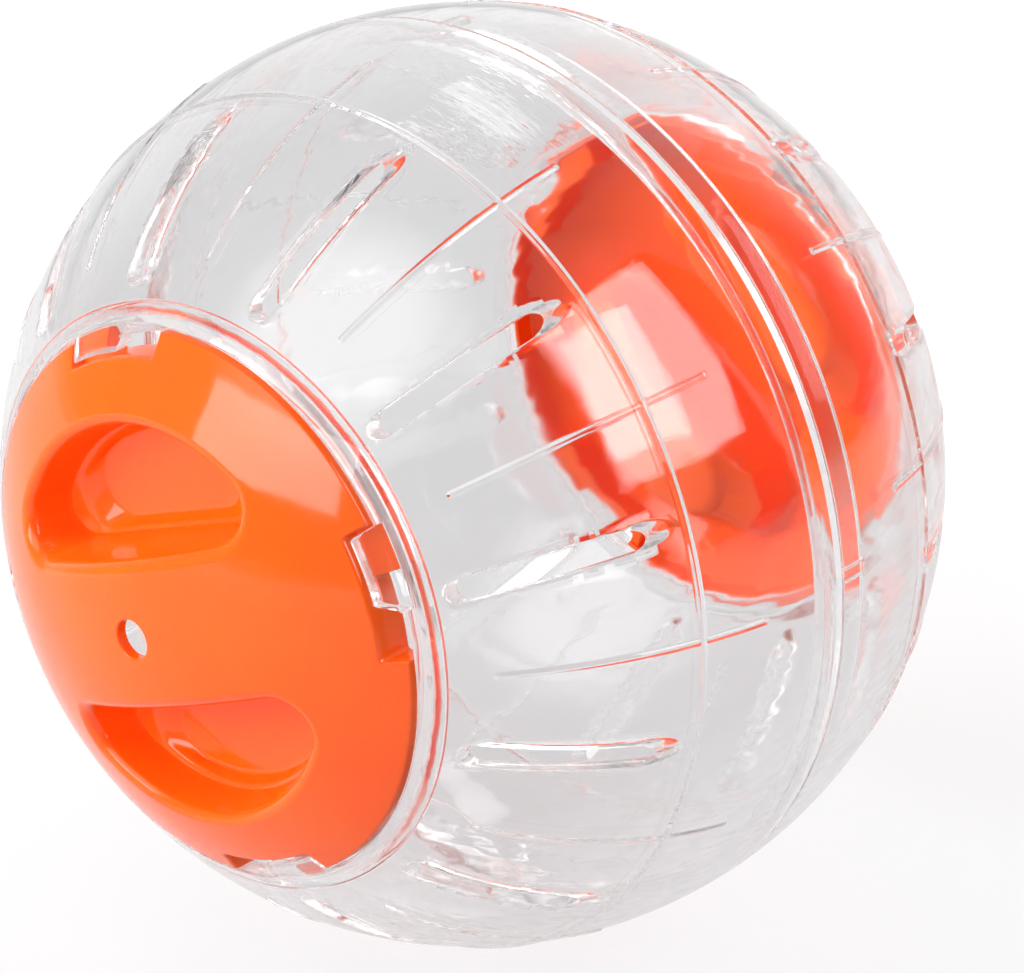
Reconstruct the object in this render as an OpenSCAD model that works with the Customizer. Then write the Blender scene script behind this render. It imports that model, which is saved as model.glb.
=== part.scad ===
// Clear pet exercise ball: two plugged half shells and two twist-lock caps.
// The ball's axis lies along X through the middle of both caps, +Z is up, the origin is the centre.
// Each half and each cap is drawn with its axis along +Z, outwards, and then laid on its side.

/* [Ball] */
// Outer radius of the closed ball
ball_r = 60; // [52:1:80]
// Wall of the clear half shells
shell_wall = 1.8; // [1.4:0.1:2.4]
// How far the far half is turned about the axis against the near half, degrees
far_turn = 12.5; // [0:0.5:29]

/* [Joint between the halves] */
// Wall of the inner lip
lip_wall = 1.3; // [1:0.1:2]
// How far the lip reaches into the other half
lip_reach = 5.6; // [4:0.2:8]
// Height of the lip's root inside its own half
lip_root = 2.2; // [1.5:0.1:3.5]
// Clearance round the lip
lip_gap = 0.25; // [0.15:0.05:0.4]
// Number of keys on the lip
key_count = 4; // [2:1:8]
// Width of a key
key_w = 1.6; // [1:0.1:3]
// Height of a key above the lip
key_h = 0.5; // [0.3:0.1:0.7]
// Azimuth of the first key, degrees
key_turn = 5.5; // [0:0.5:29]

/* [Door ring] */
// Radius of the cap
cap_r = 35; // [30:0.5:40]
// Clearance between the cap and its ring
cap_gap = 0.25; // [0.15:0.05:0.4]
// Wall of the ring round the cap
ring_wall = 1.4; // [1:0.1:2.4]
// Width of the seat under the cap's skirt
seat_w = 1.7; // [1:0.1:2.4]
// Thickness of the seat
seat_wall = 1.2; // [0.8:0.1:2]

/* [Twist lock] */
// Number of lock windows in the cap's rim
window_count = 4; // [2:1:6]
// Azimuth of the first window, degrees
window_turn = 22.5; // [0:0.5:45]
// Width of a window, degrees
window_angle = 27.5; // [24:0.5:34]
// How far a window reaches in from the rim
window_in = 2.8; // [2:0.1:4]
// Width of a tab, degrees
tab_angle = 17; // [12:0.5:18]
// Thickness of a tab
tab_wall = 1.6; // [1.2:0.1:2.2]
// How far a tab reaches in from the ring
tab_in = 2.4; // [1.6:0.1:2.6]
// Free play between a tab and the window's end when locked, degrees
lock_play = 0.75; // [0.5:0.25:1.5]

/* [Cap] */
// Wall of the cap
cap_wall = 1.5; // [1.2:0.1:2.2]
// Depth of the cap's skirt below its rim
skirt_h = 3.4; // [3:0.1:5]
// Radius of the axle hole
axle_r = 2.5; // [1.5:0.1:4]

/* [Finger scoops] */
// Width of the bar between the scoops
bar_w = 18.6; // [15:0.2:21]
// Outer radius of the scoops
scoop_r = 26.2; // [24:0.2:27]
// Corner radius of the scoops
scoop_corner = 4.5; // [3.5:0.1:5]
// Depth of the scoops' floor below the cap's crown
scoop_depth = 13.3; // [11:0.1:14]
// Height of the step above the floor
step_h = 1.8; // [1:0.1:3]
// Draft of the bar's side walls from the rim to the step
bar_draft = 0.7; // [0.3:0.1:1.2]
// Draft of the outer walls from the rim to the step
arc_draft = 2.4; // [1:0.1:3]
// How far the floor lies in from the step
floor_in = 1.4; // [0.8:0.1:2]

/* [Air slots] */
// Number of air slots in each half
slot_count = 12; // [6:1:18]
// Width of a slot
slot_w = 3; // [2:0.1:4]
// Latitude of a slot's end near the joint, degrees from the joint
slot_low = 26; // [22:1:32]
// Latitude of a slot's end near the cap, degrees
slot_high = 49; // [42:1:49]
// Azimuth of the first slot, degrees
slot_turn = 20; // [0:0.5:29]

/* [Ribs] */
// Number of thin ribs along each half
rib_count = 12; // [6:1:18]
// Radius of a rib's rounded back
rib_r = 0.4; // [0.3:0.05:0.6]
// How far a rib stands above the ball
rib_h = 0.2; // [0.1:0.05:0.25]
// Latitude of a rib's end near the joint, degrees
rib_low = 12; // [9:1:16]
// Latitude of a rib's end near the cap, degrees
rib_high = 45; // [38:1:46]
// Azimuth of the first rib, degrees
rib_turn = 5; // [0:0.5:29]
// Latitude of the rib that runs round each half, degrees
hoop_lat = 20.8; // [17:0.1:24]
// Radius of the hoop rib's rounded back
hoop_r = 0.45; // [0.35:0.05:0.65]
// How far the hoop rib stands above the ball
hoop_h = 0.3; // [0.15:0.05:0.3]

/* [Hidden] */
$fn = 128;

// overrun of every cut
over = 1;
// height of the upright band at each level of a scoop
band = 0.2;
// chords in a scoop's corner and in its outer arc
corner_steps = 8;
arc_steps = 28;

// half shell
shell_in_r = ball_r - shell_wall;
slot_out_rho = ball_r * cos(slot_low);
slot_in_rho = ball_r * cos(slot_high);

// lip and keys: the lip clears the other half's wall at the lip's own tip
lip_out_r = sqrt(pow(shell_in_r, 2) - pow(lip_reach, 2)) - lip_gap;
lip_in_r = lip_out_r - lip_wall;
key_r = lip_out_r + key_h;
key_reach = lip_reach - lip_wall / 2;

// door ring: the cap's skirt stands on the seat with a running gap
rim_z = sqrt(pow(ball_r, 2) - pow(cap_r, 2));
skirt_z = rim_z - skirt_h;
door_r = cap_r + cap_gap;
ring_out_r = door_r + ring_wall;
seat_top_z = skirt_z - cap_gap;
seat_low_z = seat_top_z - seat_wall;
seat_in_r = door_r - seat_w;

// twist lock: angles are measured from the middle of a window, positive the way the cap unlocks
window_in_r = cap_r - window_in;
window_half = window_angle / 2;
tab_high = window_half - lock_play;
tab_low = tab_high - tab_angle;
tab_in_r = door_r - tab_in;
pass_play = 0.6;
riser_rise = 0.4;
ledge_low = tab_angle + pass_play - window_half;
ledge_top_r = ball_r - tab_wall - cap_gap;
riser_in_r = window_in_r - cap_wall;
riser_side = asin(cap_wall / cap_r);
riser_z = skirt_z + riser_rise;

// cap
cap_in_r = ball_r - cap_wall;
skirt_in_r = cap_r - cap_wall;
mid_wall_r = ball_r - cap_wall / 2;

// scoops
floor_z = ball_r - scoop_depth;
step_z = floor_z + step_h;
bar_half = bar_w / 2;
step_bar = bar_half + bar_draft;
step_arc = scoop_r - arc_draft;
step_corner = scoop_corner - bar_draft;
floor_bar = step_bar + floor_in;
floor_arc = step_arc - floor_in;

// A rounded D: the straight side lies at y = bar, the round side has radius arc about the origin
function d_outline(bar, arc, corner) =
    let (
        cy = bar + corner,
        cx = sqrt(pow(arc - corner, 2) - pow(cy, 2)),
        meet = atan2(cy, cx)
    )
    concat(
        [for (i = [0 : corner_steps]) let (t = -90 + (meet + 90) * i / corner_steps)
            [cx + corner * cos(t), cy + corner * sin(t)]],
        [for (i = [1 : arc_steps - 1]) let (t = meet + (180 - 2 * meet) * i / arc_steps)
            [arc * cos(t), arc * sin(t)]],
        [for (i = [0 : corner_steps]) let (t = 180 - meet + (meet + 90) * i / corner_steps)
            [-cx + corner * cos(t), cy + corner * sin(t)]]
    );

module d_slice(z, bar, arc, corner) {
    translate([0, 0, z])
        linear_extrude(band)
            polygon(d_outline(bar, arc, corner));
}

// Part of a square-edged ring, from angle a0 to angle a1
module ring_sector(a0, a1, r0, r1, z0, z1) {
    rotate([0, 0, a0])
        rotate_extrude(angle = a1 - a0)
            translate([r0, z0])
                square([r1 - r0, z1 - z0]);
}

// Copies of the children round the axis
module around(count, first) {
    for (i = [0 : count - 1])
        rotate([0, 0, first + i * 360 / count])
            children();
}

module near_side() {
    rotate([90, 0, -90])
        children();
}

module far_side() {
    rotate([90, 0, 90])
        rotate([0, 0, far_turn])
            children();
}

// One air slot, cut along the axis, with round ends
module air_slot() {
    slot_len = slot_out_rho - slot_in_rho - slot_w;
    translate([slot_in_rho + slot_w / 2, 0, 0])
        cylinder(d = slot_w, h = ball_r);
    translate([slot_out_rho - slot_w / 2, 0, 0])
        cylinder(d = slot_w, h = ball_r);
    translate([slot_in_rho + slot_w / 2, -slot_w / 2, 0])
        cube([slot_len, slot_w, ball_r]);
}

// One thin rib along a meridian of the ball
module rib() {
    rotate([90, 0, 0])
        rotate([0, 0, rib_low])
            rotate_extrude(angle = rib_high - rib_low)
                translate([ball_r + rib_h - rib_r, 0])
                    circle(rib_r, $fn = 32);
}

module hoop() {
    hoop_c = ball_r + hoop_h - hoop_r;
    rotate_extrude()
        translate([hoop_c * cos(hoop_lat), hoop_c * sin(hoop_lat)])
            circle(hoop_r, $fn = 32);
}

// The tabs of the ring, between the ball's surface and their own underside
module tabs() {
    difference() {
        around(window_count, window_turn)
            ring_sector(tab_low, tab_high, tab_in_r, door_r + over, seat_top_z, ball_r);
        sphere(ball_r - tab_wall);
    }
}

// What is cut away for the cap: the hole, the seat's opening, all but the tabs
module doorway() {
    difference() {
        translate([0, 0, seat_top_z])
            cylinder(r = door_r, h = ball_r);
        tabs();
    }
    cylinder(r = seat_in_r, h = ball_r - shell_wall - over);
}

// The hollow inside a half, which leaves the ring and, on request, the lip's root
module hollow(root) {
    difference() {
        sphere(shell_in_r);
        translate([0, 0, seat_low_z])
            cylinder(r = ring_out_r, h = ball_r);
        if (root)
            ring_sector(0, 360, lip_in_r, ball_r, -over, lip_root);
    }
}

module half_shell(root) {
    difference() {
        union() {
            sphere(ball_r);
            hoop();
            around(rib_count, rib_turn)
                rib();
        }
        translate([0, 0, -ball_r - over])
            cylinder(r = ball_r + over, h = ball_r + over);
        hollow(root);
        doorway();
        around(slot_count, slot_turn)
            air_slot();
    }
}

// The lip that plugs into the other half, below the joint
module lip() {
    ring_sector(0, 360, lip_in_r, lip_out_r, -lip_reach, lip_root / 2);
}

// The keys that stop the halves turning; play widens them into their grooves
module keys(play) {
    around(key_count, key_turn)
        translate([lip_out_r - lip_wall / 2, -key_w / 2 - play, -key_reach - play])
            cube([key_r + play - lip_out_r + lip_wall / 2, key_w + 2 * play, key_reach + 2 * play]);
}

// The windows in the cap's rim, which leave a ledge under the locked tab
module windows() {
    difference() {
        around(window_count, window_turn)
            ring_sector(-window_half, window_half, window_in_r, cap_r + over, skirt_z - over, ball_r);
        intersection() {
            around(window_count, window_turn)
                ring_sector(ledge_low, window_half + riser_side, riser_in_r, cap_r + 2 * over,
                    skirt_z - 2 * over, ball_r);
            sphere(ledge_top_r);
        }
    }
}

// Walls round each window, under the dome
module window_risers() {
    intersection() {
        around(window_count, window_turn)
            ring_sector(-window_half - riser_side, window_half + riser_side, riser_in_r,
                (skirt_in_r + cap_r) / 2, riser_z, ball_r);
        sphere(mid_wall_r);
    }
}

// The space of one scoop, from the ball's surface past the step to the floor.
// With a wall it is the pocket that holds the scoop, that much bigger all round.
module scoop(wall) {
    hull() {
        d_slice(ball_r, bar_half - wall, scoop_r + wall, scoop_corner + wall);
        d_slice(step_z, step_bar - wall, step_arc + wall, step_corner + wall);
        d_slice(floor_z - wall, floor_bar - wall, floor_arc + wall, scoop_corner + wall);
    }
}

module cap_dome() {
    difference() {
        intersection() {
            sphere(ball_r);
            translate([0, 0, skirt_z])
                cylinder(r = cap_r, h = ball_r);
        }
        intersection() {
            sphere(cap_in_r);
            translate([0, 0, skirt_z - over])
                cylinder(r = skirt_in_r, h = ball_r);
        }
    }
}

module cap() {
    difference() {
        union() {
            cap_dome();
            window_risers();
            intersection() {
                around(2, window_turn)
                    scoop(cap_wall);
                sphere(mid_wall_r);
            }
        }
        windows();
        around(2, window_turn)
            scoop(0);
        cylinder(r = axle_r, h = ball_r + over);
    }
}

// Clear half on the near side, with the lip and its keys
module left_half_shell() {
    color([0.9, 0.92, 0.93, 0.35])
        near_side() {
            half_shell(true);
            lip();
            keys(0);
        }
}

// Clear half on the far side, grooved for the keys
module right_half_shell() {
    color([0.9, 0.92, 0.93, 0.35])
        difference() {
            far_side()
                half_shell(false);
            near_side()
                keys(lip_gap);
        }
}

module left_cap() {
    color([1, 0.42, 0.12])
        near_side()
            cap();
}

module right_cap() {
    color([1, 0.42, 0.12])
        far_side()
            cap();
}

left_half_shell();
right_half_shell();
left_cap();
right_cap();
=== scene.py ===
# Clear pet exercise ball: finer shells and caps, their plastics, a plain studio and the camera,
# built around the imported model. Pieces are drawn in millimetres with the axis of their half along
# +Z, outwards, and are laid on their side and scaled to metres when they are placed.
import math

import bmesh
import bpy
from mathutils import Matrix, Vector
from mathutils.kdtree import KDTree


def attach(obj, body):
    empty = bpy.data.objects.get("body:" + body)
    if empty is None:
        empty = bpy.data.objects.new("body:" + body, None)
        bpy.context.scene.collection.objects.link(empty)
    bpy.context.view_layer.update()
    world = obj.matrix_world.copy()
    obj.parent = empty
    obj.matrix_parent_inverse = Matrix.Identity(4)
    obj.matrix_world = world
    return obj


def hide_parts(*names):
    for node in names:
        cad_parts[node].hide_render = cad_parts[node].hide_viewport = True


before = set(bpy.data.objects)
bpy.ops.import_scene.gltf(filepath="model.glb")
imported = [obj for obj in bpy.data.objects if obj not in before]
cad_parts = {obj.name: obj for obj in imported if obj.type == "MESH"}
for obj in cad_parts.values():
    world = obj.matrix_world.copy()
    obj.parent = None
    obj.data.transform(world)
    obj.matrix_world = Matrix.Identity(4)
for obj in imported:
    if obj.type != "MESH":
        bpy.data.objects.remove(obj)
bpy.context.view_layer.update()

# Sizes in millimetres and degrees: those of the part's source, and those of the finer forms
BALL_R = 60.0
SHELL_IN_R = 58.2
FAR_TURN = 12.5
JOINT_GAP = 0.03
LIP_OUT_R = 57.68
LIP_IN_R = 56.38
LIP_REACH = 5.6
LIP_ROOT = 2.2
KEY_R = 58.18
KEY_W = 1.6
KEY_REACH = 4.95
KEY_TURN = 5.5
KEY_COUNT = 4
KEY_PLAY = 0.25
KEY_ROOT = 0.65
KEY_EASE = 0.15
KEY_TOP = 0.02
GROOVE_TOP = 0.5
DOOR_R = 35.25
RING_OUT_R = 36.65
SEAT_IN_R = 33.55
SEAT_TOP_Z = 45.08
SEAT_LOW_Z = 43.88
SLOT_COUNT = 12
SLOT_W = 3.0
SLOT_LOW = 26.0
SLOT_HIGH = 49.0
SLOT_TURN = 20.0
SLOT_EASE = 0.22
RIB_COUNT = 12
RIB_H = 0.22
RIB_HALF = 0.55
RIB_LOW = 12.0
RIB_HIGH = 45.0
RIB_TURN = 5.0
RIB_COLUMNS_FROM = 6.0
RIB_COLUMNS_TO = 1.05
HOOP_LAT = 20.8
HOOP_H = 0.28
HOOP_HALF = 0.62
CAP_R = 35.0
CAP_IN_R = 58.5
SKIRT_IN_R = 33.5
SKIRT_Z = 45.33
AXLE_R = 2.5
WINDOW_COUNT = 4
WINDOW_TURN = 22.5
WINDOW_HALF = 13.75
WINDOW_IN_R = 32.2
TAB_LOW = -4.0
TAB_HIGH = 13.0
TAB_IN_R = 32.85
TAB_WALL = 1.6
TAB_ROOT = 0.45
TAB_FOOT = 0.1
TAB_SUNK = 0.07
TAB_SWEEP = 2.6
TAB_END = 0.2
TAB_END_ROUND = 1.0
LEDGE_LOW = 3.85
LEDGE_TOP_R = 58.15
RISER_IN_R = 30.7
RISER_OUT_R = 34.25
RISER_SIDE = 2.46
RISER_Z = 45.73
MID_WALL_R = 59.25
CAP_WALL = 1.5
SCOOP_TOP = (9.3, 26.2, 4.5)
SCOOP_STEP = (10.0, 23.8, 3.8)
SCOOP_FLOOR = (11.4, 22.4, 4.5)
STEP_Z = 48.5
FLOOR_Z = 46.7
SCOOP_LIP = 1.6
POCKET_FILLET = 1.1

# Steps round the axis
SHELL_STEPS = 360
CAP_STEPS = 192

# Where cutters end, clear of the walls, and how far a cut runs past its wall
OUTSIDE = 62.0
SLOT_CUT_Z = 12.0
OVERRUN = 0.02

# Faces that meet at less than this angle are shaded smooth, in degrees
SMOOTH_ANGLE = 38
BEVEL_ANGLE = 40

# How near a corner lies to a round wall to take its true normal, in millimetres
WALL_REACH = 0.004

# How each half is laid on its side, in metres
MM = Matrix.Scale(0.001, 4)
NEAR = MM @ Matrix.Rotation(math.radians(-90), 4, "Z") @ Matrix.Rotation(math.radians(90), 4, "X")
FAR = (
    MM
    @ Matrix.Rotation(math.radians(90), 4, "Z")
    @ Matrix.Rotation(math.radians(90), 4, "X")
    @ Matrix.Rotation(math.radians(FAR_TURN), 4, "Z")
)


# Helpers: choosing, joining and cutting


def choose(*pieces):
    """Selects these pieces alone, the first one active."""
    bpy.ops.object.select_all(action="DESELECT")
    for piece in pieces:
        piece.select_set(True)
    bpy.context.view_layer.objects.active = pieces[0]


def edit(piece):
    choose(piece)
    bpy.ops.object.mode_set(mode="EDIT")
    bpy.ops.mesh.select_all(action="SELECT")


def leave():
    bpy.ops.object.mode_set(mode="OBJECT")


def combine(piece, tool, operation):
    """Joins a tool to a piece (UNION) or cuts it away (DIFFERENCE), and removes the tool."""
    change = piece.modifiers.new("shape", "BOOLEAN")
    change.operation = operation
    change.solver = "EXACT"
    change.object = tool
    choose(piece)
    bpy.ops.object.modifier_apply(modifier=change.name)
    bpy.data.objects.remove(tool)


def ring_of_copies(piece, count, first):
    """Turns a piece to its first azimuth and copies it round the axis, all as one object."""
    copies = [piece]
    for _ in range(count - 1):
        choose(piece)
        bpy.ops.object.duplicate()
        copies.append(bpy.context.object)
    for i, copy in enumerate(copies):
        copy.rotation_euler.z = math.radians(first + i * 360 / count)
    choose(*copies)
    bpy.ops.object.transform_apply(location=False, rotation=True, scale=False)
    bpy.ops.object.join()
    return piece


def round_bevel(piece, width, segments):
    bevel = piece.modifiers.new("edges", "BEVEL")
    bevel.width = width
    bevel.segments = segments
    bevel.limit_method = "ANGLE"
    bevel.angle_limit = math.radians(BEVEL_ANGLE)
    choose(piece)
    bpy.ops.object.modifier_apply(modifier=bevel.name)


# Helpers: outlines


def rounded(corners, steps=3):
    """A closed outline from corners (x, y, radius), each with a radius drawn as an arc."""
    points = []
    count = len(corners)
    for i, (x, y, radius) in enumerate(corners):
        here = Vector((x, y))
        if radius == 0:
            points.append((x, y))
            continue
        before = (Vector(corners[i - 1][:2]) - here).normalized()
        after = (Vector(corners[(i + 1) % count][:2]) - here).normalized()
        half = before.angle(after) / 2
        centre = here + (before + after).normalized() * (radius / math.sin(half))
        start = here + before * (radius / math.tan(half)) - centre
        end = here + after * (radius / math.tan(half)) - centre
        sweep = start.angle(end)
        for k in range(steps + 1):
            a, b = math.sin(sweep * (1 - k / steps)), math.sin(sweep * k / steps)
            spot = centre + (start * a + end * b) / math.sin(sweep)
            points.append((spot.x, spot.y))
    return points


def ball_arc(radius, lats, rise=None):
    """Points of a section on the ball, (distance from the axis, height), without corner radius."""
    points = []
    for lat in lats:
        r = radius + (rise(lat) if rise else 0)
        points.append((r * math.cos(math.radians(lat)), r * math.sin(math.radians(lat)), 0))
    return points


def span(start, end, steps):
    """Evenly spaced values from start to end, both included."""
    return [start + (end - start) * i / steps for i in range(steps + 1)]


def outward(outline):
    """The outward direction at each point of an outline that runs anticlockwise."""
    normals = []
    count = len(outline)
    for i in range(count):
        along = Vector(outline[(i + 1) % count]) - Vector(outline[i - 1])
        normals.append(Vector((along.y, -along.x)).normalized())
    return normals


def level(outline, out=0.0, z=None, ball=None):
    """One level of a loft: the outline moved outwards, at a height or on a ball's surface."""
    points = []
    for (x, y), normal in zip(outline, outward(outline)):
        px, py = x + out * normal.x, y + out * normal.y
        height = z if ball is None else math.sqrt(ball**2 - px**2 - py**2)
        points.append(Vector((px, py, height)))
    return points


def shelf(first, last, share, z):
    """A level part of the way from one outline to another in plan, at its own height."""
    points = [a.lerp(b, share) for a, b in zip(first, last)]
    return [Vector((spot.x, spot.y, z)) for spot in points]


# Helpers: spinning and lofting


def spun(name, section, steps):
    """A turned solid: a closed section, spun round the axis."""
    bpy.ops.object.select_all(action="DESELECT")
    bpy.ops.mesh.primitive_circle_add(vertices=len(section), radius=1, fill_type="NOTHING")
    piece = bpy.context.object
    piece.name = name
    for vertex, (x, z) in zip(piece.data.vertices, section):
        vertex.co = (x, 0, z)
    edit(piece)
    bpy.ops.mesh.spin(steps=steps, angle=math.tau, center=(0, 0, 0), axis=(0, 0, 1))
    bpy.ops.mesh.select_all(action="SELECT")
    bpy.ops.mesh.remove_doubles(threshold=0.002)
    bpy.ops.mesh.normals_make_consistent(inside=False)
    leave()
    return piece


def lofted(name, levels):
    """A solid through levels of equally many points, flat at both ends."""
    bpy.ops.object.select_all(action="DESELECT")
    bpy.ops.mesh.primitive_circle_add(vertices=len(levels[0]), radius=1, fill_type="NGON")
    piece = bpy.context.object
    piece.name = name
    for vertex, spot in zip(piece.data.vertices, levels[0]):
        vertex.co = spot
    edit(piece)
    for before, after in zip(levels, levels[1:]):
        tree = KDTree(len(before))
        for i, spot in enumerate(before):
            tree.insert(spot, i)
        tree.balance()
        bpy.ops.mesh.extrude_region()
        mesh = bmesh.from_edit_mesh(piece.data)
        for vertex in mesh.verts:
            if vertex.select:
                vertex.co = after[tree.find(vertex.co)[1]]
        bmesh.update_edit_mesh(piece.data)
    bpy.ops.mesh.select_all(action="SELECT")
    bpy.ops.mesh.quads_convert_to_tris(quad_method="BEAUTY", ngon_method="BEAUTY")
    bpy.ops.mesh.normals_make_consistent(inside=False)
    leave()
    return piece


def finish_piece(piece, place, body, node, material, radii):
    """Places a piece, smooths it, and gives its round walls the ball's own true normals."""
    piece.matrix_world = place
    choose(piece)
    bpy.ops.object.transform_apply(location=True, rotation=True, scale=True)
    bpy.ops.object.shade_smooth_by_angle(angle=math.radians(SMOOTH_ANGLE))
    mesh = piece.data
    normals = [corner.vector.copy() for corner in mesh.corner_normals]
    reach = [vertex.co.length * 1000 for vertex in mesh.vertices]
    for face in mesh.polygons:
        for radius in radii:
            if all(abs(reach[v] - radius) < WALL_REACH for v in face.vertices):
                side = 1 if face.normal.dot(face.center) > 0 else -1
                for corner in face.loop_indices:
                    spot = mesh.vertices[mesh.loops[corner].vertex_index].co
                    normals[corner] = spot.normalized() * side
                break
    mesh.normals_split_custom_set(normals)
    mesh.materials.clear()
    mesh.materials.append(material)
    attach(piece, body)
    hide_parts(node)


# Materials


def new_material(name):
    material = bpy.data.materials.new(name)
    material.use_nodes = True
    nodes = material.node_tree.nodes
    nodes.clear()
    return material, nodes, material.node_tree.links


def noise(nodes, links, scale, detail=2.0, stretch=(1, 1, 1)):
    """Noise on the piece's own coordinates, in metres."""
    place = nodes.new("ShaderNodeTexCoord")
    turn = nodes.new("ShaderNodeMapping")
    turn.inputs["Scale"].default_value = stretch
    texture = nodes.new("ShaderNodeTexNoise")
    texture.inputs["Scale"].default_value = scale
    texture.inputs["Detail"].default_value = detail
    links.new(place.outputs["Object"], turn.inputs["Vector"])
    links.new(turn.outputs["Vector"], texture.inputs["Vector"])
    return texture


def ranged(nodes, links, source, low, high):
    scaled = nodes.new("ShaderNodeMapRange")
    scaled.inputs["From Min"].default_value = 0.3
    scaled.inputs["From Max"].default_value = 0.7
    scaled.inputs["To Min"].default_value = low
    scaled.inputs["To Max"].default_value = high
    links.new(source, scaled.inputs["Value"])
    return scaled.outputs["Result"]


def bump(nodes, links, source, distance, over=None):
    node = nodes.new("ShaderNodeBump")
    node.inputs["Strength"].default_value = 1.0
    node.inputs["Distance"].default_value = distance
    links.new(source, node.inputs["Height"])
    if over is not None:
        links.new(over, node.inputs["Normal"])
    return node.outputs["Normal"]


def eased(nodes, links, value, start, end, low, high):
    """A smooth step from low to high as the value goes from start to end."""
    step = nodes.new("ShaderNodeMapRange")
    step.interpolation_type = "SMOOTHSTEP"
    step.inputs["From Min"].default_value = start
    step.inputs["From Max"].default_value = end
    step.inputs["To Min"].default_value = low
    step.inputs["To Max"].default_value = high
    links.new(value, step.inputs["Value"])
    return step.outputs["Result"]


def mixed(nodes, links, factor, first, second):
    """The first shader where the factor is 0, the second where it is 1."""
    mix = nodes.new("ShaderNodeMixShader")
    links.new(factor, mix.inputs[0])
    links.new(first, mix.inputs[1])
    links.new(second, mix.inputs[2])
    return mix.outputs[0]


# Where the stronger flow marks of the near half lie, in metres
FLOW_MARKS_AT = (-0.0110, -0.0125, 0.0576)
FLOW_MARKS_FULL = 0.006
FLOW_MARKS_END = 0.013


def flow_marks(nodes, links, over):
    """Stronger flow marks near the joint, which break a lamp's reflection into streaks."""
    place = nodes.new("ShaderNodeTexCoord")
    away = nodes.new("ShaderNodeVectorMath")
    away.operation = "DISTANCE"
    away.inputs[1].default_value = FLOW_MARKS_AT
    links.new(place.outputs["Object"], away.inputs[0])
    distance = away.outputs["Value"]
    fade = eased(nodes, links, distance, FLOW_MARKS_END, FLOW_MARKS_FULL, 0.0, 1.0)
    streaks = noise(nodes, links, 650.0, 2.0, (1, 0.22, 0.6))
    height = nodes.new("ShaderNodeMath")
    height.operation = "MULTIPLY"
    links.new(streaks.outputs["Fac"], height.inputs[0])
    links.new(fade, height.inputs[1])
    return bump(nodes, links, height.outputs[0], 0.00009, over=over)


def clear_plastic():
    """Clear polystyrene: faint flow waves, a trace of haze, and no shadow for what is inside."""
    material, nodes, links = new_material("clear_polystyrene")
    glass = nodes.new("ShaderNodeBsdfPrincipled")
    glass.inputs["Base Color"].default_value = (0.985, 0.982, 0.985, 1)
    glass.inputs["Transmission Weight"].default_value = 1.0
    glass.inputs["IOR"].default_value = 1.5
    waves = noise(nodes, links, 22.0, 1.0)
    ripple = noise(nodes, links, 160.0, 2.0, (0.35, 1, 1))
    normal = bump(nodes, links, waves.outputs["Fac"], 0.0004)
    normal = bump(nodes, links, ripple.outputs["Fac"], 0.00009, over=normal)
    normal = flow_marks(nodes, links, normal)
    links.new(normal, glass.inputs["Normal"])
    haze = noise(nodes, links, 45.0, 3.0)
    links.new(ranged(nodes, links, haze.outputs["Fac"], 0.03, 0.07), glass.inputs["Roughness"])
    path = nodes.new("ShaderNodeLightPath")
    open_way = nodes.new("ShaderNodeBsdfTransparent")
    open_way.inputs["Color"].default_value = (0.95, 0.95, 0.955, 1)
    surface = glass.outputs[0]
    for kind in ("Is Diffuse Ray", "Is Shadow Ray"):
        surface = mixed(nodes, links, path.outputs[kind], surface, open_way.outputs[0])
    output = nodes.new("ShaderNodeOutputMaterial")
    links.new(surface, output.inputs["Surface"])
    return material


def orange_plastic():
    """Glossy orange moulding: even colour with slight flow, a polished but not perfect skin."""
    material, nodes, links = new_material("orange_moulding")
    skin = nodes.new("ShaderNodeBsdfPrincipled")
    skin.inputs["IOR"].default_value = 1.46
    skin.inputs["Subsurface Weight"].default_value = 0.3
    skin.inputs["Subsurface Radius"].default_value = (1.0, 0.2, 0.08)
    skin.inputs["Subsurface Scale"].default_value = 0.001
    flow = noise(nodes, links, 35.0, 3.0)
    tint = nodes.new("ShaderNodeValToRGB")
    tint.color_ramp.elements[0].position = 0.35
    tint.color_ramp.elements[0].color = (1.0, 0.102, 0.003, 1)
    tint.color_ramp.elements[1].position = 0.65
    tint.color_ramp.elements[1].color = (1.0, 0.117, 0.005, 1)
    links.new(flow.outputs["Fac"], tint.inputs["Fac"])
    links.new(tint.outputs["Color"], skin.inputs["Base Color"])
    polish = noise(nodes, links, 90.0, 3.0)
    links.new(ranged(nodes, links, polish.outputs["Fac"], 0.05, 0.10), skin.inputs["Roughness"])
    waves = noise(nodes, links, 60.0, 1.0)
    flats = noise(nodes, links, 210.0, 1.0)
    grain = noise(nodes, links, 900.0, 2.0)
    normal = bump(nodes, links, waves.outputs["Fac"], 0.0002)
    normal = bump(nodes, links, flats.outputs["Fac"], 0.00004, over=normal)
    normal = bump(nodes, links, grain.outputs["Fac"], 0.000004, over=normal)
    links.new(normal, skin.inputs["Normal"])
    output = nodes.new("ShaderNodeOutputMaterial")
    links.new(skin.outputs[0], output.inputs["Surface"])
    return material


# Clear half shells


def hoop_rise(lat):
    """Height of the hoop rib above the ball at a latitude."""
    off = abs(math.radians(lat - HOOP_LAT)) * BALL_R
    return HOOP_H * math.cos(math.pi * off / (2 * HOOP_HALF)) ** 2 if off < HOOP_HALF else 0


def outer_lats():
    """Latitudes of the outer wall's rows, close together at the hoop and at the ribs' ends."""
    lats = span(1, 11, 8) + span(11.3, 12.7, 7) + span(13.5, 19.5, 5)
    lats += span(HOOP_LAT - 0.65, HOOP_LAT + 0.65, 12) + span(22.4, 43.6, 17)
    return lats + span(44.2, 45.6, 7) + span(46.6, 52.8, 5)


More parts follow.
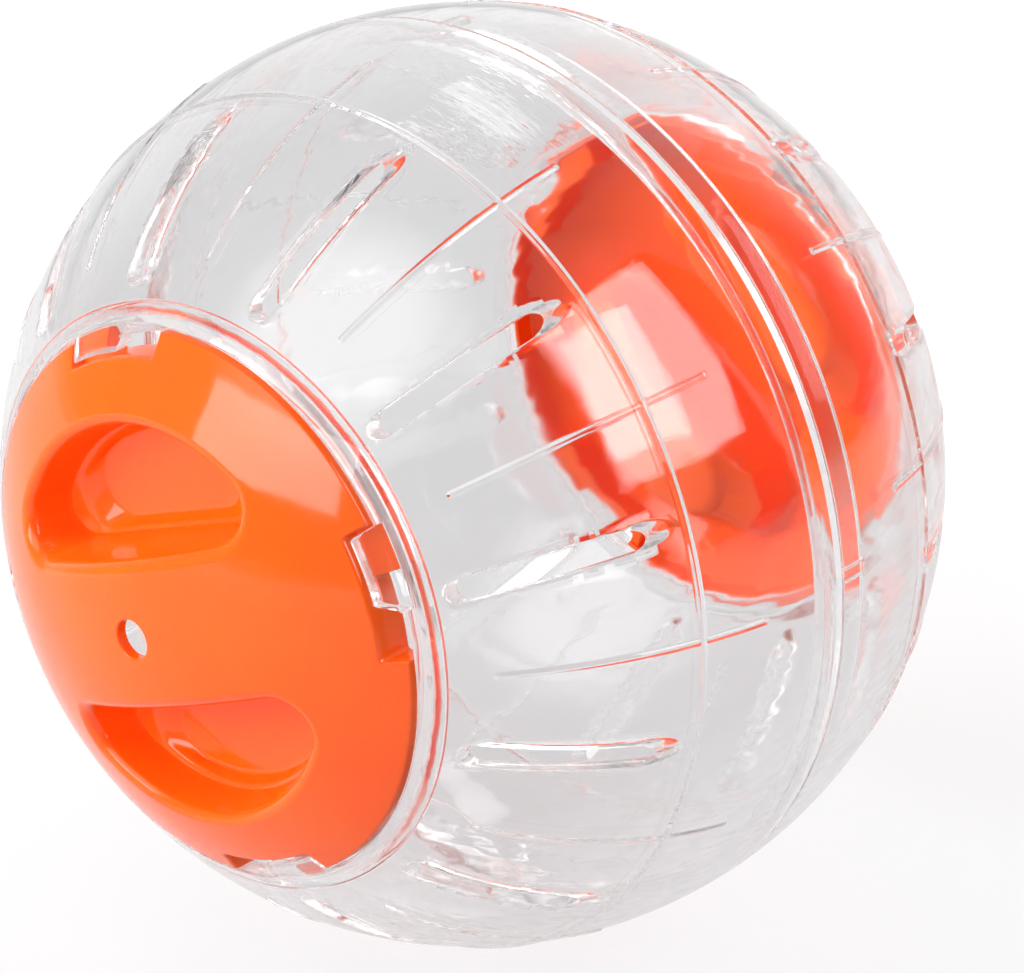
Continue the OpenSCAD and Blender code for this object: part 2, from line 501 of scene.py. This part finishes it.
def shell_section(with_lip):
    """The section of one half, from the joint over the outside to the door and back inside."""
    ring_top = math.sqrt(BALL_R**2 - DOOR_R**2)
    ring_foot = math.sqrt(SHELL_IN_R**2 - RING_OUT_R**2)
    corners = [(math.sqrt(BALL_R**2 - JOINT_GAP**2), JOINT_GAP, 0.25)]
    corners += ball_arc(BALL_R, outer_lats(), hoop_rise)
    corners += [
        (DOOR_R, ring_top, 0.35),
        (DOOR_R, SEAT_TOP_Z, 0.12),
        (SEAT_IN_R, SEAT_TOP_Z, 0.3),
        (SEAT_IN_R, SEAT_LOW_Z, 0.3),
        (RING_OUT_R, SEAT_LOW_Z, 0.3),
        (RING_OUT_R, ring_foot, 0.35),
    ]
    if not with_lip:
        corners += ball_arc(SHELL_IN_R, span(50.0, 1.0, 40))
        corners.append((math.sqrt(SHELL_IN_R**2 - JOINT_GAP**2), JOINT_GAP, 0.15))
        return rounded(corners)
    corners += ball_arc(SHELL_IN_R, span(50.0, 3.4, 38))
    corners += [
        (math.sqrt(SHELL_IN_R**2 - LIP_ROOT**2), LIP_ROOT, 0.25),
        (LIP_IN_R, LIP_ROOT, 0.3),
        (LIP_IN_R, -LIP_REACH, 0.3),
        (LIP_OUT_R, -LIP_REACH, 0.35),
        (LIP_OUT_R, JOINT_GAP, 0.1),
    ]
    return rounded(corners)


def raise_ribs(piece):
    """Draws the mesh's columns together at each rib, and lifts the thin ribs out of the wall."""
    pitch = 360 / RIB_COUNT
    for vertex in piece.data.vertices:
        x, y, z = vertex.co
        rho = math.hypot(x, y)
        step = (math.degrees(math.atan2(y, x)) - RIB_TURN + pitch / 2) % pitch - pitch / 2
        if abs(step) <= RIB_COLUMNS_FROM:
            off = step / RIB_COLUMNS_FROM * RIB_COLUMNS_TO
        else:
            share = (abs(step) - RIB_COLUMNS_FROM) / (pitch / 2 - RIB_COLUMNS_FROM)
            off = RIB_COLUMNS_TO + share * (pitch / 2 - RIB_COLUMNS_TO)
            off = math.copysign(off, step)
        azimuth = math.atan2(y, x) + math.radians(off - step)
        size = vertex.co.length
        lat = math.degrees(math.asin(z / size))
        if size > BALL_R - 0.01:
            beside = rho * math.sin(math.radians(off))
            beyond = math.radians(max(RIB_LOW - lat, lat - RIB_HIGH)) * BALL_R + RIB_HALF
            away = math.hypot(beside, max(beyond, 0))
            if away < RIB_HALF:
                lift = RIB_H * math.cos(math.pi * away / (2 * RIB_HALF)) ** 2
                size = max(size, BALL_R + lift)
        scale = size / vertex.co.length
        vertex.co = (rho * scale * math.cos(azimuth), rho * scale * math.sin(azimuth), z * scale)


def slot_cutter():
    """The space of one air slot, cut along the axis, its edges eased outside and inside."""
    outer = BALL_R * math.cos(math.radians(SLOT_LOW)) - SLOT_W / 2
    inner = BALL_R * math.cos(math.radians(SLOT_HIGH)) + SLOT_W / 2
    outline = []
    for angle in span(-90, 90, 14):
        turn = math.radians(angle)
        outline.append((outer + SLOT_W / 2 * math.cos(turn), SLOT_W / 2 * math.sin(turn)))
    outline += [(x, SLOT_W / 2) for x in span(outer, inner, 10)[1:-1]]
    for angle in span(90, 270, 14):
        turn = math.radians(angle)
        outline.append((inner + SLOT_W / 2 * math.cos(turn), SLOT_W / 2 * math.sin(turn)))
    outline += [(x, -SLOT_W / 2) for x in span(inner, outer, 10)[1:-1]]
    part_way = SLOT_EASE * 0.3
    return lofted(
        "slot_cutter",
        [
            level(outline, SLOT_EASE + 0.3, ball=OUTSIDE),
            level(outline, SLOT_EASE, ball=BALL_R + OVERRUN),
            level(outline, part_way, ball=BALL_R - part_way),
            level(outline, 0, ball=BALL_R - SLOT_EASE),
            level(outline, 0, ball=SHELL_IN_R + SLOT_EASE),
            level(outline, part_way, ball=SHELL_IN_R + part_way),
            level(outline, SLOT_EASE, ball=SHELL_IN_R - OVERRUN),
            level(outline, SLOT_EASE, z=SLOT_CUT_Z),
        ],
    )


def door_tab():
    """One bayonet tab of the door ring, its corner swept back into the ring in an S."""
    bpy.ops.object.select_all(action="DESELECT")
    bpy.ops.mesh.primitive_grid_add(x_subdivisions=40, y_subdivisions=5, size=2)
    piece = bpy.context.object
    root_r = DOOR_R + TAB_ROOT
    end = TAB_HIGH + TAB_END
    for vertex in piece.data.vertices:
        angle = TAB_LOW + (end - TAB_LOW) * (vertex.co.x + 1) / 2
        rise = min(max((angle - TAB_LOW) / TAB_SWEEP, 0), 1)
        fall = min(max((end - angle) / TAB_END_ROUND, 0), 1)
        depth = (DOOR_R - TAB_IN_R) * rise**2 * (3 - 2 * rise) * math.sqrt(fall * (2 - fall))
        rho = root_r - (TAB_ROOT + TAB_FOOT + depth) * (1 - vertex.co.y) / 2
        turn = math.radians(angle)
        height = math.sqrt((BALL_R - TAB_SUNK) ** 2 - rho**2)
        vertex.co = (rho * math.cos(turn), rho * math.sin(turn), height)
    edit(piece)
    bpy.ops.mesh.extrude_region()
    mesh = bmesh.from_edit_mesh(piece.data)
    for vertex in mesh.verts:
        if vertex.select:
            rho_squared = vertex.co.x**2 + vertex.co.y**2
            vertex.co.z = math.sqrt((BALL_R - TAB_WALL) ** 2 - rho_squared)
    bmesh.update_edit_mesh(piece.data)
    bpy.ops.mesh.select_all(action="SELECT")
    bpy.ops.mesh.normals_make_consistent(inside=False)
    leave()
    round_bevel(piece, 0.16, 2)
    return piece


def key_block(play):
    """One key of the lip, or with play the groove that takes it."""
    low = -KEY_REACH - play
    deep = LIP_OUT_R - KEY_ROOT
    high = KEY_R + play
    half = KEY_W / 2 + play
    corners = [(deep, -half, 0), (high, -half, 0.3), (high, half, 0.3), (deep, half, 0)]
    outline = rounded(corners)
    levels = [
        level(outline, -KEY_EASE, z=low),
        level(outline, 0, z=low + KEY_EASE),
        level(outline, 0, z=KEY_TOP if play == 0 else GROOVE_TOP),
    ]
    return lofted("key", levels)


def half_shell(name, with_lip):
    piece = spun(name, shell_section(with_lip), SHELL_STEPS)
    raise_ribs(piece)
    combine(piece, ring_of_copies(slot_cutter(), SLOT_COUNT, SLOT_TURN), "DIFFERENCE")
    combine(piece, ring_of_copies(door_tab(), WINDOW_COUNT, WINDOW_TURN), "UNION")
    return piece


# Orange caps


def cap_section():
    """The section of a cap, from the axle hole over the dome to the skirt and back inside."""
    rim_lat = math.degrees(math.acos(CAP_R / BALL_R))
    rim_z = math.sqrt(BALL_R**2 - CAP_R**2)
    fold_lat = math.degrees(math.acos(SKIRT_IN_R / CAP_IN_R))
    fold_z = math.sqrt(CAP_IN_R**2 - SKIRT_IN_R**2)
    corners = [(AXLE_R, math.sqrt(BALL_R**2 - AXLE_R**2), 0.25)]
    corners += ball_arc(BALL_R, span(86.6, rim_lat + 0.9, 34))
    corners += [
        (CAP_R, rim_z, 0.4),
        (CAP_R, SKIRT_Z, 0.25),
        (SKIRT_IN_R, SKIRT_Z, 0.25),
        (SKIRT_IN_R, fold_z, 0.4),
    ]
    corners += ball_arc(CAP_IN_R, span(fold_lat + 0.9, 86.6, 34))
    corners.append((AXLE_R, math.sqrt(CAP_IN_R**2 - AXLE_R**2), 0.15))
    return rounded(corners)


def d_outline(bar, arc, corner):
    """A rounded D: its straight side lies at y = bar, its round side has radius arc."""
    cy = bar + corner
    cx = math.sqrt((arc - corner) ** 2 - cy**2)
    meet = math.degrees(math.atan2(cy, cx))
    points = []
    for angle in span(-90, meet, 12):
        turn = math.radians(angle)
        points.append((cx + corner * math.cos(turn), cy + corner * math.sin(turn)))
    for angle in span(meet, 180 - meet, 48)[1:-1]:
        turn = math.radians(angle)
        points.append((arc * math.cos(turn), arc * math.sin(turn)))
    for angle in span(180 - meet, 270, 12):
        turn = math.radians(angle)
        points.append((-cx + corner * math.cos(turn), cy + corner * math.sin(turn)))
    points += [(x, bar) for x in span(-cx, cx, 26)[1:-1]]
    return points


def scoop_wall(out, z=None, ball=None):
    """A level of a scoop's wall, between its rim and its step, moved outwards."""
    top = d_outline(*SCOOP_TOP)
    step = d_outline(*SCOOP_STEP)
    points = []
    for (tx, ty), (sx, sy), normal in zip(top, step, outward(top)):
        height = z if ball is None else STEP_Z
        for _ in range(1 if ball is None else 6):
            share = (BALL_R - height) / (BALL_R - STEP_Z)
            px = tx + (sx - tx) * share + out * normal.x
            py = ty + (sy - ty) * share + out * normal.y
            if ball is not None:
                height = math.sqrt(ball**2 - px**2 - py**2)
        points.append(Vector((px, py, height)))
    return points


def scoop_cutter():
    """The space of one finger scoop: rounded lip, drafted wall, step and flat floor."""
    levels = [
        scoop_wall(SCOOP_LIP + 0.4, z=OUTSIDE),
        scoop_wall(SCOOP_LIP, ball=BALL_R + OVERRUN),
    ]
    for angle in span(15, 90, 5):
        turn = math.radians(angle)
        out = SCOOP_LIP * (1 - math.sin(turn))
        levels.append(scoop_wall(out, ball=BALL_R - SCOOP_LIP * (1 - math.cos(turn))))
    step = d_outline(*SCOOP_STEP)
    floor = d_outline(*SCOOP_FLOOR)
    at_step = level(step, 0, z=STEP_Z)
    at_floor = level(floor, 0, z=FLOOR_Z)
    levels += [
        scoop_wall(0, z=STEP_Z + 0.7),
        scoop_wall(-0.03, z=STEP_Z + 0.25),
        level(step, -0.14, z=STEP_Z - 0.05),
        shelf(at_step, at_floor, 0.38, STEP_Z - 0.2),
        shelf(at_step, at_floor, 0.5, STEP_Z - 0.34),
        shelf(at_step, at_floor, 0.62, STEP_Z - 0.62),
        level(floor, 0.06, z=FLOOR_Z + 0.22),
        level(floor, -0.2, z=FLOOR_Z + 0.05),
        level(floor, -0.6, z=FLOOR_Z),
    ]
    return lofted("scoop_cutter", levels)


def scoop_pocket():
    """The walls of one scoop as they stand out on the inner side of the cap."""
    step = d_outline(*SCOOP_STEP)
    floor = d_outline(*SCOOP_FLOOR)
    levels = [
        scoop_wall(-2.5, z=50.0),
        scoop_wall(-1.5, ball=MID_WALL_R),
        scoop_wall(CAP_WALL + POCKET_FILLET, ball=MID_WALL_R),
        scoop_wall(CAP_WALL + POCKET_FILLET, ball=CAP_IN_R - OVERRUN),
        scoop_wall(CAP_WALL + 0.4, ball=CAP_IN_R - 0.4),
        scoop_wall(CAP_WALL, ball=CAP_IN_R - POCKET_FILLET),
        level(step, CAP_WALL, z=STEP_Z - 0.3),
        level(floor, CAP_WALL + 0.2, z=FLOOR_Z - 0.4),
        level(floor, CAP_WALL - 0.2, z=FLOOR_Z - 1.05),
        level(floor, CAP_WALL - 0.75, z=FLOOR_Z - 1.4),
        level(floor, CAP_WALL - 1.5, z=FLOOR_Z - 1.5),
    ]
    return lofted("scoop_pocket", levels)


def sector(low, high, inner, outer, corner):
    """A part of a ring in plan, its inner corners rounded."""
    corners = []
    arc = span(low, high, 16)
    for angle in arc:
        turn = math.radians(angle)
        corners.append((outer * math.cos(turn), outer * math.sin(turn), 0))
    for i, angle in enumerate(reversed(arc)):
        turn = math.radians(angle)
        radius = corner if i in (0, len(arc) - 1) else 0
        corners.append((inner * math.cos(turn), inner * math.sin(turn), radius))
    return rounded(corners)


def window_riser():
    outline = sector(
        -WINDOW_HALF - RISER_SIDE, WINDOW_HALF + RISER_SIDE, RISER_IN_R, RISER_OUT_R, 0.6
    )
    return lofted(
        "window_riser",
        [
            level(outline, -0.2, z=RISER_Z),
            level(outline, 0, z=RISER_Z + 0.2),
            level(outline, 0, ball=MID_WALL_R),
        ],
    )


def window_cutter():
    """The opening of one lock window above its ledge, its upper edge eased."""
    outline = sector(-WINDOW_HALF, WINDOW_HALF, WINDOW_IN_R, CAP_R + 1.5, 0.5)
    return lofted(
        "window_cutter",
        [
            level(outline, 0.55, ball=OUTSIDE),
            level(outline, 0.3, ball=BALL_R + OVERRUN),
            level(outline, 0.09, ball=BALL_R - 0.09),
            level(outline, 0, ball=BALL_R - 0.3),
            level(outline, 0, ball=LEDGE_TOP_R),
        ],
    )


def window_foot_cutter():
    """The open part of a window beside its ledge, down through the skirt."""
    outline = sector(-WINDOW_HALF, LEDGE_LOW, WINDOW_IN_R, CAP_R + 1.5, 0.5)
    return lofted(
        "window_foot_cutter",
        [
            level(outline, 0, ball=LEDGE_TOP_R + 0.6),
            level(outline, 0, ball=LEDGE_TOP_R - 0.2),
            level(outline, 0, z=SKIRT_Z - 2.0),
        ],
    )


def cap(name):
    piece = spun(name, cap_section(), CAP_STEPS)
    combine(piece, ring_of_copies(scoop_pocket(), 2, WINDOW_TURN), "UNION")
    combine(piece, ring_of_copies(window_riser(), WINDOW_COUNT, WINDOW_TURN), "UNION")
    combine(piece, ring_of_copies(scoop_cutter(), 2, WINDOW_TURN), "DIFFERENCE")
    combine(piece, ring_of_copies(window_cutter(), WINDOW_COUNT, WINDOW_TURN), "DIFFERENCE")
    combine(piece, ring_of_copies(window_foot_cutter(), WINDOW_COUNT, WINDOW_TURN), "DIFFERENCE")
    return piece


# The four pieces, on their bodies

clear = clear_plastic()
orange = orange_plastic()
SHELL_RADII = (BALL_R, SHELL_IN_R)
CAP_RADII = (BALL_R, CAP_IN_R)

near_shell = half_shell("left_half_shell_fine", True)
combine(near_shell, ring_of_copies(key_block(0), KEY_COUNT, KEY_TURN), "UNION")
finish_piece(near_shell, NEAR, "left_half", "left_half_shell", clear, SHELL_RADII)

far_shell = half_shell("right_half_shell_fine", False)
grooves = ring_of_copies(key_block(KEY_PLAY), KEY_COUNT, KEY_TURN)
grooves.matrix_world = FAR.inverted() @ NEAR
combine(far_shell, grooves, "DIFFERENCE")
finish_piece(far_shell, FAR, "right_half", "right_half_shell", clear, SHELL_RADII)

near_cap = cap("left_cap_fine")
choose(near_cap)
bpy.ops.object.duplicate()
far_cap = bpy.context.object
far_cap.name = "right_cap_fine"
finish_piece(near_cap, NEAR, "left_door", "left_cap", orange, CAP_RADII)
finish_piece(far_cap, FAR, "right_door", "right_cap", orange, CAP_RADII)


# Studio: a pale floor, a white surround and softboxes

FLOOR_HEIGHT = -0.060
FLOOR_SIZE = 6

# The floor's painted glow, on top of the light it takes: from and to these distances in metres from
# the spot under the ball, from and to these strengths, lighter further off; then as a mirror shows
# it and as the clear plastic shows it
PAINTED_GLOW_FADE = (0.09, 0.32, 0.6, 1.0)
IN_A_MIRROR = 0.38
THROUGH_THE_BALL = 0.35

# Directions in the surround: azimuth and elevation
BEHIND_THE_BALL = (42.5, 0)
FRONT_RIGHT = (-70, 30)

# Strengths of the surround: from and to these cosines of the angle to a direction, from and to
# these strengths, then as the clear plastic shows it
ROOM_SWEEP = (0.5, 0.85, 0.34, 0.95)
FRONT_RIGHT_SHADE = (0.25, 0.7, 0.0, -0.17)
FILL_SWEEP = (-0.6, 0.8, 0.12, 0.5)
SEEN_THROUGH = 0.785

# Soft glows in the room: azimuth, elevation, angles where they are full and faded, strength
SOFT_SPOTS = [(170, 50, 12, 34, 2.4), (-110, -9, 4, 16, 3.4)]


def towards(azimuth, elevation):
    """The direction from the ball at these angles, in degrees."""
    a, e = math.radians(azimuth), math.radians(elevation)
    return Vector((math.cos(a) * math.cos(e), math.sin(a) * math.cos(e), math.sin(e)))


def once_mirrored(nodes, links):
    """One where the ray's way holds exactly one mirror bounce, so that it shows the room."""
    path = nodes.new("ShaderNodeLightPath")
    same = nodes.new("ShaderNodeMath")
    same.operation = "COMPARE"
    same.inputs[1].default_value = 1.0
    same.inputs[2].default_value = 0.5
    links.new(path.outputs["Glossy Depth"], same.inputs[0])
    return same.outputs[0]


def floor_material():
    """Pale floor: it keeps the object's soft shadow, and a painted glow takes it to white further
    off.
    """
    material, nodes, links = new_material("pale_floor")
    matt = nodes.new("ShaderNodeBsdfDiffuse")
    matt.inputs["Color"].default_value = (0.3, 0.3, 0.305, 1)

    def lifted(strength):
        glow = nodes.new("ShaderNodeEmission")
        if isinstance(strength, float):
            glow.inputs["Strength"].default_value = strength
        else:
            links.new(strength, glow.inputs["Strength"])
        both = nodes.new("ShaderNodeAddShader")
        links.new(matt.outputs[0], both.inputs[0])
        links.new(glow.outputs[0], both.inputs[1])
        return both.outputs[0]

    place = nodes.new("ShaderNodeTexCoord")
    away = nodes.new("ShaderNodeVectorMath")
    away.operation = "LENGTH"
    links.new(place.outputs["Object"], away.inputs[0])
    # Painted glow: weaker near the ball, stronger further off, so that the far floor shows white
    painted_glow = lifted(eased(nodes, links, away.outputs["Value"], *PAINTED_GLOW_FADE))

    # A ray through the plastic counts as a glossy one too, so its own mix comes last
    path = nodes.new("ShaderNodeLightPath")
    seen = mixed(nodes, links, path.outputs["Is Camera Ray"], matt.outputs[0], painted_glow)
    seen = mixed(nodes, links, path.outputs["Is Glossy Ray"], seen, lifted(IN_A_MIRROR))
    seen = mixed(nodes, links, path.outputs["Is Transmission Ray"], seen, lifted(THROUGH_THE_BALL))
    output = nodes.new("ShaderNodeOutputMaterial")
    links.new(seen, output.inputs["Surface"])
    return material


def facing(nodes, links, azimuth, elevation):
    """How far a world direction looks towards this one: the cosine between them."""
    place = nodes.new("ShaderNodeTexCoord")
    dot = nodes.new("ShaderNodeVectorMath")
    dot.operation = "DOT_PRODUCT"
    dot.inputs[1].default_value = towards(azimuth, elevation)
    links.new(place.outputs["Generated"], dot.inputs[0])
    return dot.outputs["Value"]


def summed(nodes, links, values):
    total = values[0]
    for value in values[1:]:
        plus = nodes.new("ShaderNodeMath")
        links.new(total, plus.inputs[0])
        links.new(value, plus.inputs[1])
        total = plus.outputs[0]
    return total


def studio_world():
    """A white surround. In a mirror, the camera's side of it is a grey room."""
    world = bpy.data.worlds.new("studio")
    bpy.context.scene.world = world
    world.use_nodes = True
    nodes, links = world.node_tree.nodes, world.node_tree.links
    nodes.clear()

    def background(strength):
        shader = nodes.new("ShaderNodeBackground")
        shader.inputs["Color"].default_value = (1, 1, 1, 1)
        if isinstance(strength, float):
            shader.inputs["Strength"].default_value = strength
        else:
            links.new(strength, shader.inputs["Strength"])
        return shader.outputs[0]

    sweep = facing(nodes, links, *BEHIND_THE_BALL)
    front_right = facing(nodes, links, *FRONT_RIGHT)
    parts = [
        eased(nodes, links, sweep, *ROOM_SWEEP),
        eased(nodes, links, front_right, *FRONT_RIGHT_SHADE),
    ]
    for azimuth, elevation, full, faded, strength in SOFT_SPOTS:
        spot = facing(nodes, links, azimuth, elevation)
        edge = math.cos(math.radians(faded)), math.cos(math.radians(full))
        parts.append(eased(nodes, links, spot, *edge, 0.0, strength))
    room = background(summed(nodes, links, parts))
    fill = background(eased(nodes, links, sweep, *FILL_SWEEP))

    # A ray through the plastic counts as a glossy one too, so its own mix comes after that one
    path = nodes.new("ShaderNodeLightPath")
    light = mixed(nodes, links, path.outputs["Is Glossy Ray"], fill, room)
    behind = background(SEEN_THROUGH)
    light = mixed(nodes, links, path.outputs["Is Transmission Ray"], light, behind)
    light = mixed(nodes, links, once_mirrored(nodes, links), light, room)
    light = mixed(nodes, links, path.outputs["Is Camera Ray"], light, background(1.0))
    output = nodes.new("ShaderNodeOutputWorld")
    links.new(light, output.inputs["Surface"])


def softbox(
    name, azimuth, elevation, distance, width, height, radiance, mirrored=True, lights=True, roll=0
):
    """A rectangular lamp that looks at the ball from a direction, with an even brightness."""
    lamp = bpy.data.lights.new(name, "AREA")
    lamp.shape = "RECTANGLE"
    lamp.size = width
    lamp.size_y = height
    lamp.energy = radiance * width * height * math.pi
    holder = bpy.data.objects.new(name, lamp)
    bpy.context.scene.collection.objects.link(holder)
    direction = towards(azimuth, elevation)
    holder.location = direction * distance
    rolled = Matrix.Rotation(math.radians(roll), 3, "Z")
    turn = direction.to_track_quat("Z", "Y").to_matrix() @ rolled
    holder.rotation_euler = turn.to_euler()
    holder.visible_camera = False
    holder.visible_transmission = mirrored
    holder.visible_glossy = mirrored
    holder.visible_diffuse = lights


bpy.ops.object.select_all(action="DESELECT")
bpy.ops.mesh.primitive_plane_add(size=FLOOR_SIZE, location=(0, 0, FLOOR_HEIGHT))
floor = bpy.context.object
floor.name = "studio_floor"
floor.data.materials.append(floor_material())
studio_world()

softbox("left_softbox", 170, 22, 0.9, 0.66, 0.27, 5.5)
softbox("cap_light", 198, 8, 1.1, 0.5, 0.4, 7.5, mirrored=False)
softbox("inner_light", 138, 14, 1.0, 0.4, 0.5, 10.0, mirrored=False)
softbox("right_softbox", -83, 39, 0.9, 0.54, 0.68, 4.0, lights=False)
softbox("right_core", -90, 40, 0.85, 0.3, 0.46, 4.4, lights=False)
softbox("right_light", -55, 42, 1.0, 0.6, 0.6, 3.0, mirrored=False)
softbox("rear_light", 118, 32, 1.0, 0.6, 0.6, 4.5, mirrored=False)
softbox("far_side_light", -5, 26, 1.0, 0.6, 0.6, 4.5, mirrored=False)
softbox("top_light", 165, 66, 1.0, 0.8, 0.7, 0.8, mirrored=False)
softbox("back_strip", 36, 33, 0.9, 0.34, 0.05, 5.0, lights=False, roll=-50)
softbox("back_lamp", 37, 59, 0.9, 0.36, 0.1, 2.2, lights=False, roll=-55)

# Camera, at the photograph's viewing angle
BALL_TO_CAMERA = Vector((-0.6600, -0.6051, 0.4452)).normalized()
CAMERA_DISTANCE = 0.564
LENS = 155.4
SENSOR_WIDTH = 36.0
PICTURE_WIDTH = 1024

# How far the ball's centre lies left of the picture's middle and above it, in pixels
BALL_LEFT_BY = 39.0
BALL_UP_BY = 12.5

camera_data = bpy.data.cameras.new("camera")
camera_data.lens = LENS
camera_data.sensor_width = SENSOR_WIDTH
camera_data.clip_start = 0.01
camera_data.clip_end = 50.0
camera = bpy.data.objects.new("camera", camera_data)
bpy.context.scene.collection.objects.link(camera)
camera.location = BALL_TO_CAMERA * CAMERA_DISTANCE
aim = (-BALL_TO_CAMERA).to_track_quat("-Z", "Y").to_matrix()
focal_pixels = LENS / SENSOR_WIDTH * PICTURE_WIDTH
aside = Matrix.Rotation(-math.atan(BALL_LEFT_BY / focal_pixels), 3, "Y")
down = Matrix.Rotation(-math.atan(BALL_UP_BY / focal_pixels), 3, "X")
camera.rotation_euler = (aim @ aside @ down).to_euler()
bpy.context.scene.camera = camera

bpy.context.scene.view_settings.view_transform = "Standard"

# Light finds its way out of the clear walls only after many bounces
CLEAR_BOUNCES = 40
paths = bpy.context.scene.cycles
paths.max_bounces = CLEAR_BOUNCES
paths.diffuse_bounces = 6
paths.glossy_bounces = CLEAR_BOUNCES
paths.transmission_bounces = CLEAR_BOUNCES
